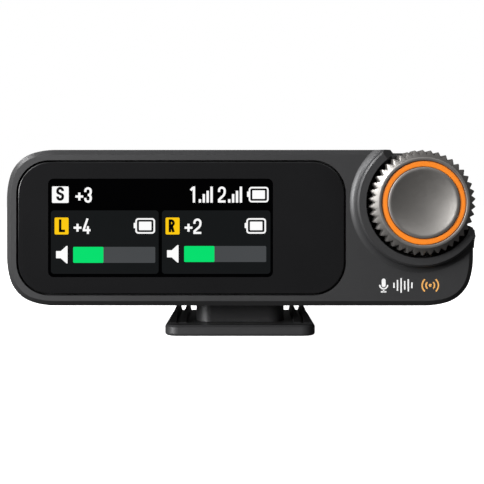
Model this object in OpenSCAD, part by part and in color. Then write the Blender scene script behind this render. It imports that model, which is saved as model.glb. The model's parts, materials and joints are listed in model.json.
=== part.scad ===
// Wireless receiver unit: a pocket-sized receiver with a screen, a corner dial and an accessory-shoe foot.
//
// Frame: millimetres. The origin is the centre of the foot's underside. +X is to the right of someone
// who reads the screen, +Y points away from that reader, and +Z is up. Most parts are drawn flat in the
// plane of the screen, with their third coordinate measured forward, and faced() stands them up.

/* [Body] */
// Width of the body
body_w = 54.8; // [54.6:0.1:55.2]
// Height of the body, without its foot
body_h = 18.3; // [18.2:0.1:18.6]
// Depth of the body, from its face to its back
body_d = 25.4; // [25:0.1:26]
// Radius of the body's four corners, seen from the front
corner_r = 4.1; // [4:0.05:4.3]
// Radius of the shallow arcs that lead into each corner
lead_r = 9; // [8.5:0.25:9.5]
// Bevel where the face turns into the sides
front_bevel = 0.6; // [0.5:0.05:0.6]
// Rounding where the back turns into the sides
back_edge_r = 1.6; // [1:0.1:1.8]
// Wall thickness of both housings
wall = 1.4; // [1.3:0.1:1.5]
// Depth of the front housing, back to the parting line
front_d = 4.5; // [4.4:0.1:4.6]

/* [Display] */
// Width of the cover glass
glass_w = 38.2; // [38:0.1:38.3]
// Height of the cover glass
glass_h = 15.45; // [15.35:0.05:15.6]
// Corner radius of the cover glass
glass_r = 3.7; // [3.4:0.1:4]
// Margin from the body's left side to the glass
glass_margin = 1.4; // [1.35:0.05:1.45]
// Thickness of the cover glass
glass_t = 1.0; // [0.8:0.1:1]
// Open groove around the glass
glass_gap = 0.2; // [0.15:0.05:0.25]

/* [Dial] */
// Number of teeth around the dial
dial_teeth = 42; // [36:1:48]
// Radius at the tips of the teeth
dial_r = 6.1; // [6:0.02:6.16]
// Depth of the teeth
tooth_d = 0.5; // [0.4:0.05:0.6]
// Margin from the body's right side to the tips of the teeth
dial_margin = 0.25; // [0.2:0.05:0.3]
// How far the dial stands in front of the face
dial_stand = 2.8; // [2.6:0.1:3.2]
// Travel of the dial when it is pressed
dial_travel = 0.35; // [0.2:0.05:0.35]
// Width of the guard collar's flat rim
collar_w = 1.0; // [0.8:0.1:1.2]
// Height of the guard collar above the face
collar_h = 1.2; // [1:0.1:1.3]

/* [Foot] */
// Width of the foot that enters an accessory shoe
foot_w = 18.6; // [18.4:0.1:18.6]
// Length of the foot along the shoe
foot_l = 18; // [17:0.5:18]
// Thickness of the foot's plate
plate_t = 1.35; // [1.25:0.05:1.4]
// Thickness over the gripping ridges at their tall end
grip_t = 2.4; // [2.2:0.05:2.5]
// Space between the plate and the body
shoe_gap = 3.0; // [2.95:0.05:3.1]
// Width of the foot's neck
neck_w = 11.2; // [10.5:0.1:11.6]
// How far the foot's front edge sits behind the face
foot_setback = 6.0; // [6:0.1:6.5]

/* [Sockets and button] */
// Bore radius of the two 3.5 mm sockets
jack_bore_r = 1.85; // [1.8:0.01:1.9]
// Depth of the two 3.5 mm sockets
jack_depth = 14; // [13.5:0.1:14.2]
// Length of the power button
button_l = 7.6; // [6:0.1:8]
// Travel of the power button
button_travel = 0.25; // [0.15:0.05:0.25]

/* [Hidden] */
$fn = 64;
eps = 0.01;

// Directions that bound a corner's three arcs (a 7-24-25 triangle keeps them exact)
seams = [[1, 0], [0.96, 0.28], [0.28, 0.96], [0, 1]];
// Width of the rim that carries a slab's bevel or rounding
rim_w = 2.2;
// Places along Y, measured forward from the foot's centre
face_f = foot_l / 2 + foot_setback;
part_f = face_f - front_d;
back_f = face_f - body_d;
// Places along Z
body_bottom = plate_t + shoe_gap;
body_top = body_bottom + body_h;
mid_z = (body_bottom + body_top) / 2;
in_left = -body_w / 2 + wall;
in_right = body_w / 2 - wall;
in_bottom = body_bottom + wall;
in_top = body_top - wall;
// Display stack, from the face inwards
glass_x = -body_w / 2 + glass_margin + glass_w / 2;
tape_t = 0.2;
seat_f = face_f - glass_t - tape_t;
seat_t = 1.4;
panel_w = 27.4;
panel_h = 12.6;
panel_x = -9.3;
panel_t = 1.3;
backplate_t = 0.4;
// Dial: its tips are almost level with the top of the body
dial_x = body_w / 2 - dial_margin - dial_r;
dial_z = body_top - dial_r - 0.1;
dial_f = face_f + dial_stand;
dial_root_r = dial_r - tooth_d;
accent_out = 4.83;
accent_in = 4.1;
pocket_r = dial_r + 0.34;
pocket_d = 2.2;
pocket_f = face_f - pocket_d;
pocket_floor_t = 1.2;
dial_back_f = pocket_f + dial_travel + 0.1;
shaft_r = 1.5;
bearing_r = shaft_r + 0.05;
collar_r = pocket_r + collar_w;
// The collar runs from the top of the body, round the left and below, to the right side. Its ends slope down
// over a few degrees, and the body is set in between them.
collar_start = 128;
collar_end = 325.5;
collar_slope = 8;
corner_clear_r = 5.7;
corner_clear_d = 10;
// Encoder behind the dial
clip_f = pocket_f - pocket_floor_t - 0.22;
cover_f = clip_f - dial_travel - 0.3;
encoder_f = cover_f - 0.2;
encoder_r = 4.2;
encoder_l = 3.3;
rotor_r = 3.2;
plunger_r = 2.2;
tip_r = 0.9;
// Circuit board, lying flat, with the sockets on it
board_z = 9.0;
board_t = 0.8;
board_w = 50.8;
board_front_f = 10.4;
board_back_f = -7.6;
board_top = board_z + board_t;
jack_y = 4.7;
jack_body = 6;
jack_z = board_top + jack_body / 2;
jack_nose_r = 2.8;
usb_y = -3.2;
usb_w = 8.94;
usb_h = 3.26;
usb_l = 7.35;
usb_skin = 0.3;
usb_z = board_top + usb_h / 2;
// Slot under the body that holds the foot
slot_lip = 0.9;
slot_w = 15.2;
slot_h = 1.6;
slot_front_y = -5.3;
neck_gap = 0.2;
head_w = 14.9;
head_t = 1.4;
neck_front_y = slot_front_y + neck_gap;
neck_back_y = foot_l / 2;
slot_roof = 0.8;
slot_z = body_bottom + slot_lip;
// Power button, on top
button_x = -17.5;
button_y = -1.5;
button_w = 2.4;
button_stand = 0.3;
button_gap = 0.15;
// Screws through the front housing, hidden under the glass: [x, z]
screw_spots = [[-24.4, 11.45], [-24.4, 15.35], [8.8, 7.5], [8.8, 19.1]];
screw_r = 0.6;
screw_head_r = 1.0;
boss_r = 1.4;
boss_l = 2.6;
// Board screws and posts: [x, y]
post_spots = [[-22.4, -8.9], [22.4, -8.9], [-10.5, 6.2], [10.5, 6.2]];
post_r = 1.3;
// Charging pads on the back
pad_count = 5;
pad_pitch = 2.4;
pad_r = 0.7;
charge_z = 15.2;

body_col = [0.22, 0.22, 0.225];
black_col = [0.07, 0.07, 0.075];
metal_col = [0.55, 0.54, 0.53];
gold_col = [0.85, 0.68, 0.30];
steel_col = [0.72, 0.72, 0.74];
board_col = [0.05, 0.22, 0.13];
orange_col = [0.97, 0.50, 0.12];

// A box from its lowest to its highest corner.
module block(low, high) {
    translate(low) cube(high - low);
}

// Stands a part up: drawn x, y and forward become world X, Z and -Y.
module faced() {
    rotate([90, 0, 0]) children();
}

// Cross-section of a slab's rim: len outwards, depth forwards, bevelled in front and rounded at the back.
module rim_section(len, depth, bevel, back_r) {
    difference() {
        square([len, depth]);
        if (bevel > 0)
            polygon([[len - bevel, depth + eps], [len + eps, depth + eps], [len + eps, depth - bevel]]);
        if (back_r > 0)
            translate([len - back_r, back_r]) mirror([0, 1]) difference() {
                square(back_r + eps);
                circle(back_r);
            }
    }
}

// A plate with round corners, growing forward from 0. Its front can be bevelled and its back rounded.
module slab(w, h, r, depth, bevel = 0, back_r = 0) {
    translate([r - w / 2, r - h / 2, 0]) cube([w - 2 * r, h - 2 * r, depth]);
    for (turn = [0 : 3]) {
        out = (turn % 2 == 0 ? w : h) / 2 - r;
        half = (turn % 2 == 0 ? h : w) / 2 - r;
        rotate(90 * turn) translate([out, half, 0]) {
            rotate([90, 0, 0]) linear_extrude(2 * half) rim_section(r, depth, bevel, back_r);
            rotate_extrude(angle = 90) rim_section(r, depth, bevel, back_r);
        }
    }
}

// The three arcs of one soft corner whose sides would meet at [x, z]: [centre, radius] of each.
function soft_arcs(x, z) =
    let (near = lead_r - (lead_r - corner_r) * seams[1][0], far = near + (lead_r - corner_r) * seams[1][1])
    [[[x - lead_r, z - far], lead_r], [[x - near, z - near], corner_r], [[x - far, z - lead_r], lead_r]];

// The arcs' ends, set in by inset.
function corner_points(x, z, inset) = [
    for (i = [0 : 3]) let (arc = soft_arcs(x, z)[min(i, 2)]) arc[0] + (arc[1] - inset) * seams[i]
];

// The body's outline, set in by inset, between two places forward of the origin. Each corner is a tight arc
// between two shallow ones, so the sides flow into it.
module body_slab(inset, from_f, to_f, bevel = 0, back_r = 0) {
    depth = to_f - from_f;
    x = body_w / 2;
    z = body_h / 2;
    ring = corner_points(x, z, inset + rim_w / 2);
    left = [for (i = [3 : -1 : 0]) [-ring[i][0], ring[i][1]]];
    upper = concat(ring, left);
    faced() translate([0, mid_z, from_f]) {
        linear_extrude(depth) polygon(concat(upper, [for (point = upper) -point]));
        for (turn = [0 : 3]) {
            out = turn % 2 == 0 ? x : z;
            half = turn % 2 == 0 ? z : x;
            straight = corner_points(out, half, 0)[0][1];
            rotate(90 * turn) {
                translate([out - inset - rim_w, straight, 0]) rotate([90, 0, 0])
                    linear_extrude(2 * straight) rim_section(rim_w, depth, bevel, back_r);
                for (i = [0 : 2]) let (arc = soft_arcs(out, half)[i]) translate(arc[0]) intersection() {
                    rotate_extrude() translate([arc[1] - inset - rim_w, 0])
                        rim_section(rim_w, depth, bevel, back_r);
                    translate([0, 0, -1]) linear_extrude(depth + 2)
                        polygon([[0, 0], 2 * arc[1] * seams[i], 2 * arc[1] * seams[i + 1]]);
                }
            }
        }
    }
}

// Turns a profile of [radius, forward] about the dial's axis.
module dial_turned(angle = 360, start = 0) {
    faced() translate([dial_x, dial_z, 0]) rotate(start) rotate_extrude(angle = angle) children();
}

// One step of such a profile.
module step(r0, r1, f0, f1) {
    translate([r0, f0]) square([r1 - r0, f1 - f0]);
}

// A cylinder along the forward direction at [x, z].
module forward_rod(spot, r, f0, f1) {
    faced() translate([spot[0], spot[1], f0]) cylinder(r = r, h = f1 - f0);
}

// A pill-shaped plate, long in X, lying flat.
module pill(len, wid, h) {
    cube([len - wid, wid, h], center = true);
    for (side = [-1, 1]) translate([side * (len - wid) / 2, 0, 0]) cylinder(d = wid, h = h, center = true);
}

// Cutter for one end of the collar: everything beyond a slope that starts at the rim and turn.
module collar_end_cut(turn, side) {
    faced() translate([dial_x, dial_z, face_f]) rotate(turn) rotate([90, 0, 90]) linear_extrude(12)
        polygon([[0, collar_h], [side * 2.5, collar_h - 2.5], [side * 6, collar_h - 2.5],
                 [side * 6, collar_h + 1], [0, collar_h + 1]]);
}

// Guard collar around the dial, with a bevelled rim and a hollow fillet down to the face.
module collar() {
    fillet = 0.97;
    edge = 0.2;
    difference() {
        intersection() {
            dial_turned(collar_end - collar_start + 2 * collar_slope, collar_start - collar_slope) {
                step(pocket_r - 0.3, collar_r, pocket_f + 0.1, face_f + collar_h - edge);
                step(pocket_r - 0.3, collar_r - edge, pocket_f + 0.1, face_f + collar_h);
                polygon([[collar_r - edge - eps, face_f + collar_h - edge - eps],
                         [collar_r, face_f + collar_h - edge - eps], [collar_r, face_f + collar_h - edge],
                         [collar_r - edge, face_f + collar_h], [collar_r - edge - eps, face_f + collar_h]]);
                difference() {
                    step(collar_r - eps, collar_r + fillet, face_f - 0.4, face_f + collar_h - edge);
                    translate([collar_r + fillet, face_f - 0.02 + fillet]) circle(fillet);
                    step(collar_r + fillet - 0.2, collar_r + fillet + 1, face_f - 1, face_f + 2);
                }
            }
            body_slab(0.02, pocket_f, face_f + collar_h + 1);
        }
        collar_end_cut(collar_start, -1);
        collar_end_cut(collar_end, 1);
    }
}

// Clears the body's corner between the collar's ends, so that the dial's teeth stand free of it.
module corner_clearance() {
    past = collar_slope + 1.5;
    dial_turned(360 + collar_start - collar_end - 2 * past, collar_end + past)
        step(corner_clear_r, 14, face_f - corner_clear_d, face_f + 3);
}

module front_housing() {
    color(body_col) difference() {
        union() {
            body_slab(0, part_f, face_f, front_bevel);
            collar();
        }
        // seat for the glass
        faced() translate([glass_x, mid_z, seat_f])
            slab(glass_w + 2 * glass_gap, glass_h + 2 * glass_gap, glass_r + glass_gap, glass_t + tape_t + 1);
        // window for the display panel
        block([panel_x - panel_w / 2 - 0.3, -seat_f - 1, mid_z - panel_h / 2 - 0.3],
              [panel_x + panel_w / 2 + 0.3, -part_f, mid_z + panel_h / 2 + 0.3]);
        // hollow behind the seat, and a shallower one behind the dial's pocket
        intersection() {
            body_slab(wall, part_f - 1, seat_f - seat_t);
            block([in_left - 1, -face_f, 0], [glass_x + glass_w / 2, 0, 30]);
        }
        body_slab(wall, part_f - 1, pocket_f - pocket_floor_t);
        // the dial's pocket, its open corner and its bearing seat
        dial_turned() step(0, pocket_r, pocket_f, face_f + 3);
        corner_clearance();
        dial_turned() step(0, 2.3, pocket_f - 3, pocket_f + 1);
        for (spot = screw_spots) {
            forward_rod(spot, screw_r + 0.1, part_f - 1, face_f);
            forward_rod(spot, screw_head_r + 0.1, seat_f - 0.65, face_f);
        }
    }
}

// Plain bush pressed into the pocket's floor, in which the dial's shaft runs.
module dial_bearing() {
    color(gold_col) dial_turned() step(bearing_r, 2.3, pocket_f - pocket_floor_t, pocket_f);
}

// Webs that tie each screw boss to the nearest wall: [low x, low z, high x, high z].
boss_webs = [
    [in_left - 0.4, 10.75, -24.4, 12.15], [in_left - 0.4, 14.65, -24.4, 16.05],
    [8.1, in_bottom - 0.4, 9.5, 7.5], [8.1, 19.1, 9.5, in_top + 0.4]
];

module rear_housing() {
    color(body_col) difference() {
        union() {
            difference() {
                body_slab(0, back_f, part_f, 0, back_edge_r);
                body_slab(wall, back_f + wall, part_f + 1);
            }
            // screw bosses
            for (spot = screw_spots) forward_rod(spot, boss_r, part_f - boss_l, part_f);
            for (web = boss_webs)
                block([web[0], -part_f, web[1]], [web[2], -part_f + boss_l, web[3]]);
            // posts under the circuit board
            for (spot = post_spots)
                translate([spot[0], spot[1], in_bottom - 0.4])
                    cylinder(r = post_r, h = board_z - in_bottom + 0.4);
            // trough that the foot's head slides in
            block([-slot_w / 2 - 1, slot_front_y - 1, body_bottom + 0.2],
                  [slot_w / 2 + 1, -back_f - wall + 0.2, slot_z + slot_h + slot_roof]);
        }
        // slot: the narrow mouth and the wide part above it
        block([-neck_w / 2 - neck_gap, slot_front_y, body_bottom - 1],
              [neck_w / 2 + neck_gap, -back_f + 1, slot_z + eps]);
        block([-slot_w / 2, slot_front_y, slot_z], [slot_w / 2, -back_f + 1, slot_z + slot_h]);
        // window for the expansion contacts
        block([-4.2, -2.1, slot_z], [4.2, 2.1, board_z + 1]);
        corner_clearance();
        // sockets, left and right
        for (side = [-1, 1]) translate([side * (body_w / 2 - 2), jack_y, jack_z])
            rotate([0, 90, 0]) cylinder(r = jack_nose_r + 0.05, h = 6, center = true);
        // data port
        translate([-body_w / 2, usb_y, usb_z]) rotate([90, 0, 90])
            translate([0, 0, -1]) slab(usb_w + 0.1, usb_h + 0.1, usb_h / 2 - 0.1, 4);
        // power button
        translate([button_x, button_y, body_top])
            pill(button_l + 2 * button_gap, button_w + 2 * button_gap, 4);
        // charging pads, in a shallow recess
        translate([0, -back_f, charge_z]) rotate([90, 0, 0]) pill(pad_count * pad_pitch + 0.6, 2.6, 0.6);
        for (i = [0 : pad_count - 1])
            forward_rod([(i - (pad_count - 1) / 2) * pad_pitch, charge_z], pad_r + 0.03,
                        back_f - 1, back_f + wall + 1);
        for (spot = screw_spots) forward_rod(spot, screw_r, part_f - boss_l + 0.4, part_f + 1);
        for (spot = [post_spots[0], post_spots[3]])
            translate([spot[0], spot[1], board_z - 2.6]) cylinder(r = screw_r, h = 3);
    }
}

// A small pan-head screw: its head sits on z = 0 and its shank points down.
module screw(shank_l, head_t) {
    difference() {
        union() {
            cylinder(r = screw_head_r, h = head_t);
            translate([0, 0, -shank_l]) cylinder(r = screw_r, h = shank_l + eps);
        }
        for (turn = [0, 90]) rotate(turn)
            translate([0, 0, head_t]) cube([1.1, 0.25, 0.5], center = true);
    }
}

module housing_screws() {
    color(steel_col) for (spot = screw_spots)
        faced() translate([spot[0], spot[1], seat_f - 0.65])
            screw(seat_f - 0.65 - part_f + boss_l - 0.6, 0.5);
}

module display_glass() {
    color(black_col) faced() translate([glass_x, mid_z, face_f - glass_t])
        slab(glass_w, glass_h, glass_r, glass_t, 0.15);
}

module display_tape() {
    color("black") difference() {
        faced() translate([glass_x, mid_z, seat_f]) slab(glass_w - 0.4, glass_h - 0.4, glass_r - 0.2, tape_t);
        block([panel_x - panel_w / 2 - 0.3, -face_f, mid_z - panel_h / 2 - 0.3],
              [panel_x + panel_w / 2 + 0.3, 0, mid_z + panel_h / 2 + 0.3]);
    }
}

// Drawn behind the glass, from back_t to front_t behind the face.
module panel_layer(w, h, back_t, front_t) {
    block([panel_x - w / 2, -face_f + front_t, mid_z - h / 2],
          [panel_x + w / 2, -face_f + back_t, mid_z + h / 2]);
}

module display_panel() {
    color(black_col) panel_layer(panel_w, panel_h, glass_t + panel_t, glass_t);
}

module display_backplate() {
    color(steel_col)
        panel_layer(panel_w - 0.4, panel_h - 0.4, glass_t + panel_t + backplate_t, glass_t + panel_t);
}

// Ribbon from the display's back, down and back to the plug on the board.
module display_flex() {
    back = face_f - glass_t - panel_t - backplate_t;
    color([0.75, 0.45, 0.12]) {
        block([-9, -back, board_top + 0.5], [-2, -back + 0.15, board_top + 4.5]);
        block([-9, -back + 0.15 - eps, board_top + 0.5], [-2, -board_front_f + 1.8, board_top + 0.65]);
        block([-9.4, -board_front_f + 0.4, board_top], [-1.6, -board_front_f + 2, board_top + 0.5]);
    }
}

module main_board() {
    color(board_col) difference() {
        block([-board_w / 2, -board_front_f, board_z], [board_w / 2, -board_back_f, board_top]);
        for (spot = post_spots) translate([spot[0], spot[1], board_z - 1]) cylinder(r = screw_r + 0.1, h = 3);
        for (side = [-1, 1])
            block([side * 25.4 - 1.2, 7, board_z - 1], [side * 25.4 + 1.2, 9, board_top + 1]);
    }
}

module board_screws() {
    color(steel_col) for (spot = [post_spots[0], post_spots[3]])
        translate([spot[0], spot[1], board_top]) screw(3.1, 0.4);
}

// Chips on the board: [x, y, width, length, height].
chips = [[-15, -7.6, 5, 3.4, 0.9], [8.8, -6.2, 6, 6, 0.9], [17.2, -3.4, 4, 4, 0.8],
         [-14.6, -1.2, 1.6, 3.2, 0.6], [15.6, -7.8, 1.6, 2.4, 0.5], [8.4, 3, 2.4, 2.4, 0.6]];

module board_chips() {
    color(black_col) for (chip = chips)
        block([chip[0] - chip[2] / 2, chip[1] - chip[3] / 2, board_top],
              [chip[0] + chip[2] / 2, chip[1] + chip[3] / 2, board_top + chip[4]]);
}

module radio_shield() {
    color(steel_col) difference() {
        block([-12, -6.2, board_top], [3.5, 4.4, board_top + 1.8]);
        block([-11.8, -6, board_top - 1], [3.3, 4.2, board_top + 1.6]);
    }
}

battery_low = [-10.8, -6.2, 16.3];
battery_high = [22.2, 7.4, 20.7];

module battery_cell() {
    color([0.62, 0.63, 0.66]) block(battery_low, battery_high);
}

module battery_pad() {
    color(black_col) block([-8, -4.5, battery_high[2]], [19.5, 5.5, in_top]);
}

// Flat lead from the cell down to the board.
module battery_lead() {
    color([0.75, 0.45, 0.12]) {
        block([battery_low[0] - 0.2, -5.4, board_top + 3.2], [battery_low[0], -2.6, battery_high[2] - 0.6]);
        block([battery_low[0] - 2.2, -5.4, board_top + 2.6], [battery_low[0], -2.6, board_top + 3.2 + eps]);
        block([battery_low[0] - 2.2, -5.4, board_top], [battery_low[0] - 1.4, -2.6, board_top + 2.6 + eps]);
    }
}

module antenna_upper() {
    color(gold_col) {
        block([-21.4, 2.6, in_top - 0.16], [-12.2, 6.8, in_top]);
        block([-13.4, 2.4, board_top + 6.2], [-13.2, 3.4, in_top - 0.16 + eps]);
    }
}

module antenna_lower() {
    color(gold_col) {
        block([11, -6, in_bottom], [20.5, 1.5, in_bottom + 0.16]);
        block([13, -2, in_bottom + 0.16 - eps], [13.2, -1, board_z]);
    }
}

// Drawn from the left side inwards: x is the depth.
module usb_place() {
    translate([-body_w / 2 + 0.15, usb_y, usb_z]) rotate([90, 0, 90]) children();
}

module usb_shell() {
    color(steel_col) usb_place() difference() {
        slab(usb_w, usb_h, usb_h / 2 - 0.15, usb_l);
        translate([0, 0, -1])
            slab(usb_w - 2 * usb_skin, usb_h - 2 * usb_skin, usb_h / 2 - 0.15 - usb_skin, usb_l);
    }
}

module usb_tongue() {
    color(black_col) usb_place() translate([0, 0, 1.2]) {
        translate([0, 0, (usb_l - 2.2) / 2]) cube([6.7, 0.7, usb_l - 2.2], center = true);
    }
}

// Socket for a 3.5 mm plug, drawn with its mouth at x = 0 and its body towards +x.
module jack_body_shape() {
    nose_l = wall + 0.3;
    difference() {
        union() {
            rotate([0, 90, 0]) cylinder(r = jack_nose_r, h = nose_l + eps);
            block([nose_l, -jack_body / 2, -jack_body / 2], [jack_depth + 0.9, jack_body / 2, jack_body / 2]);
        }
        translate([-1, 0, 0]) rotate([0, 90, 0]) cylinder(r = jack_bore_r, h = jack_depth + 1);
        // pockets for the contact springs, above and below the bore
        for (side = [-1, 1]) for (spring = [0 : 1])
            translate([4.2 + spring * 5, -0.6, side > 0 ? 1.2 : -2.7]) cube([4, 1.2, 1.5]);
    }
}

// Four bent springs that press on the plug, just outside the bore.
module jack_contact_shape() {
    for (side = [-1, 1]) for (spring = [0 : 1])
        translate([4.3 + spring * 5, -0.5, side > 0 ? jack_bore_r + 0.05 : -jack_bore_r - 0.25])
            cube([3.8, 1, 0.2]);
}

module output_place() {
    translate([-body_w / 2, jack_y, jack_z]) children();
}

module monitor_place() {
    translate([body_w / 2, jack_y, jack_z]) rotate([0, 0, 180]) children();
}

module output_socket() {
    color(black_col) output_place() jack_body_shape();
}

module output_contacts() {
    color(gold_col) output_place() jack_contact_shape();
}

module monitor_socket() {
    color(black_col) monitor_place() jack_body_shape();
}

module monitor_contacts() {
    color(gold_col) monitor_place() jack_contact_shape();
}

// Gold pads on the back, with the block that carries them inside.
module charge_pads() {
    color(gold_col) for (i = [0 : pad_count - 1])
        forward_rod([(i - (pad_count - 1) / 2) * pad_pitch, charge_z], pad_r, back_f + 0.2, back_f + wall);
}

module charge_block() {
    color(black_col)
        block([-pad_count * pad_pitch / 2, -back_f - wall - 0.45, charge_z - 1.3],
              [pad_count * pad_pitch / 2, -back_f - wall, charge_z + 1.05]);
}

module expansion_pads() {
    color(gold_col) for (i = [-3 : 3])
        block([i * 1.1 - 0.35, -1.6, slot_z + slot_h], [i * 1.1 + 0.35, 1.6, slot_z + slot_h + 0.15]);
}

module expansion_block() {
    color(black_col) block([-4.1, -2, slot_z + slot_h + 0.15], [4.1, 2, board_z]);
}

module encoder_cover() {
    color(steel_col) dial_turned() step(shaft_r + 0.2, encoder_r, encoder_f, cover_f);
}

module encoder_body() {
    color(black_col) dial_turned() difference() {
        step(0, encoder_r, encoder_f - encoder_l, encoder_f);
        step(-1, rotor_r + 0.1, encoder_f - 0.95, encoder_f + 1);
        step(-1, plunger_r + 0.08, encoder_f - 2.7, encoder_f);
    }
}

// Snap dome under the plunger.
module encoder_dome() {
    color(steel_col) dial_turned() step(0, 1.8, encoder_f - 2.7, encoder_f - 2.5);
}

module dial_board() {
    f = encoder_f - encoder_l;
    color(board_col) block([13.5, -f, board_top + 0.7], [24.2, -f + 0.6, 19.6]);
}

// Slides in the encoder without turning, and holds the tip of the shaft.
module dial_plunger() {
    color("white") dial_turned() difference() {
        step(0, plunger_r, encoder_f - 1.95, encoder_f - 1.05);
        step(-1, tip_r + 0.05, encoder_f - 1.8, encoder_f);
    }
}

// Outline of the toothed wheel.
function wheel_point(i) = let (r = i % 2 == 0 ? dial_r : dial_root_r, a = 90 + i * 180 / dial_teeth)
    [r * cos(a), r * sin(a)];

module dial_ring() {
    bevel = dial_r - (accent_out + 0.34);
    color(metal_col) intersection() {
        faced() translate([dial_x, dial_z, dial_back_f]) linear_extrude(dial_f - dial_back_f)
            polygon([for (i = [0 : 2 * dial_teeth - 1]) wheel_point(i)]);
        dial_turned() difference() {
            polygon([[shaft_r, dial_back_f], [dial_r + 0.1, dial_back_f],
                     [dial_r + 0.1, dial_f - bevel - 0.1], [dial_r - bevel, dial_f], [shaft_r, dial_f]]);
            step(0, accent_out, dial_f - 1.3, dial_f + 1);
            step(2.6, dial_root_r - 0.75, dial_back_f - 1, dial_f - 2.1);
        }
    }
}

module dial_accent_ring() {
    color(orange_col) dial_turned() step(accent_in, accent_out, dial_f - 1.3, dial_f - 0.12);
}

// Dished centre, with a narrow flat rim.
module dial_cap() {
    dish_r = 3.85;
    dish_depth = 0.55;
    ball_r = (dish_r * dish_r + dish_depth * dish_depth) / (2 * dish_depth);
    color(metal_col) difference() {
        dial_turned() step(0, accent_in, dial_f - 1.3, dial_f);
        faced() translate([dial_x, dial_z, dial_f - dish_depth + ball_r]) sphere(ball_r);
    }
}

module dial_shaft() {
    rotor_f = encoder_f - 0.15;
    color(steel_col) dial_turned() difference() {
        union() {
            step(0, shaft_r - 0.01, rotor_f - 0.35, dial_f - 1.3);
            step(0, tip_r, encoder_f - 1.7, rotor_f);
        }
        step(1.1, 2, clip_f - 0.15, clip_f + 0.15);
    }
}

// Retaining ring in the shaft's groove, behind the bearing.
module dial_clip() {
    color(steel_col) dial_turned(300, 120) step(1.1, 2.6, clip_f - 0.14, clip_f + 0.14);
}

module encoder_rotor() {
    color(black_col) dial_turned() step(shaft_r - 0.01, rotor_r, encoder_f - 0.5, encoder_f - 0.15);
}

module power_button() {
    color([0.3, 0.3, 0.31]) translate([button_x, button_y, 0]) {
        top = body_top + button_stand;
        flange = in_top - 0.05;
        translate([0, 0, (top + flange) / 2]) pill(button_l, button_w, top - flange + eps);
        translate([0, 0, flange - 0.25]) pill(button_l + 1.2, button_w + 1.2, 0.5);
        translate([0, 0, flange - 1.1]) cylinder(r = 0.8, h = 0.8);
    }
}

module power_switch() {
    color(black_col) translate([button_x, button_y, 0]) {
        block([-1.8, -1.5, 18.3], [1.8, 1.5, 19.35]);
        translate([0, 0, 19.3]) cylinder(r = 0.75, h = in_top - 0.05 - 1.1 - button_travel - 0.05 - 19.3);
    }
}

module button_board() {
    color(board_col) block([button_x - 3.5, button_y - 2.5, 17.7], [button_x + 3.5, button_y + 2.5, 18.3]);
}

module button_bracket() {
    color(body_col) difference() {
        block([-19, -3.8, board_top], [-15.6, 0.8, 17.7]);
        block([-18.2, -5, board_top - 1], [-16.4, 2, 16.9]);
    }
}

// One gripping ridge along the plate: a three-cornered bar that rises towards the back.
module ridge(x, lean) {
    front_y = -foot_l / 2 + 2.4;
    back_y = foot_l / 2 - 1;
    tall_y = 4;
    rise = grip_t - plate_t;
    intersection() {
        translate([0, back_y, plate_t - 0.05]) rotate([90, 0, 0]) linear_extrude(back_y - front_y)
            polygon([[x - 0.5, 0], [x + 0.5, 0],
                     [x + lean + 0.15, rise + 0.05], [x + lean - 0.15, rise + 0.05]]);
        translate([x + 2, 0, 0]) rotate([0, -90, 0]) linear_extrude(4)
            polygon([[0, front_y], [plate_t + 0.05, front_y], [grip_t, tall_y],
                     [grip_t, back_y], [0, back_y]]);
    }
}

module shoe_foot() {
    head_low = slot_z + (slot_h - head_t) / 2;
    depth = neck_back_y - neck_front_y;
    neck_mid = (neck_back_y + neck_front_y) / 2;
    color(black_col) {
        difference() {
            slab(foot_w, foot_l, 1.7, plate_t, 0.25, 0.35);
            // grip line behind the front edge
            block([-foot_w, -foot_l / 2 + 2.05, plate_t - 0.15], [foot_w, -foot_l / 2 + 2.25, plate_t + 1]);
        }
        translate([0, neck_mid, plate_t - 0.1]) slab(neck_w, depth, 1.9, head_low - plate_t + 0.2);
        block([-head_w / 2, neck_front_y, head_low], [head_w / 2, neck_back_y, head_low + head_t]);
        for (side = [-1, 1]) {
            ridge(side * 8.45, 0);
            ridge(side * 7.2, -side * 0.1);
        }
    }
}

// Bowed steel strip let into the head's top, which holds the foot in its slot by friction.
module rail_spring() {
    top = slot_z + (slot_h + head_t) / 2;
    color(steel_col) for (side = [-1, 1]) block([side * 6 - 0.8, -3, top], [side * 6 + 0.8, 7, top + 0.06]);
}

front_housing();
rear_housing();
housing_screws();
display_glass();
display_tape();
display_panel();
display_backplate();
display_flex();
main_board();
board_screws();
board_chips();
radio_shield();
battery_cell();
battery_pad();
battery_lead();
antenna_upper();
antenna_lower();
usb_shell();
usb_tongue();
output_socket();
output_contacts();
monitor_socket();
monitor_contacts();
charge_pads();
charge_block();
expansion_pads();
expansion_block();
dial_bearing();
encoder_cover();
encoder_body();
encoder_dome();
dial_board();
dial_plunger();
dial_ring();
dial_accent_ring();
dial_cap();
dial_shaft();
dial_clip();
encoder_rotor();
power_button();
power_switch();
button_board();
button_bracket();
shoe_foot();
rail_spring();
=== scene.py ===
"""The looks of a pocket wireless receiver: housing, screen, toothed dial, guard collar, sockets and shoe foot.

Everything is in metres in the frame of the CAD model: +X to the reader's right, +Y away from the reader and +Z up.
Sizes in the dataclasses are in millimetres. The classes take their places from the CAD nodes' boxes, so each new
piece lies where the solid that it dresses or replaces lies.
"""

import json
import logging
import math
from dataclasses import dataclass, field
from enum import Enum

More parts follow.
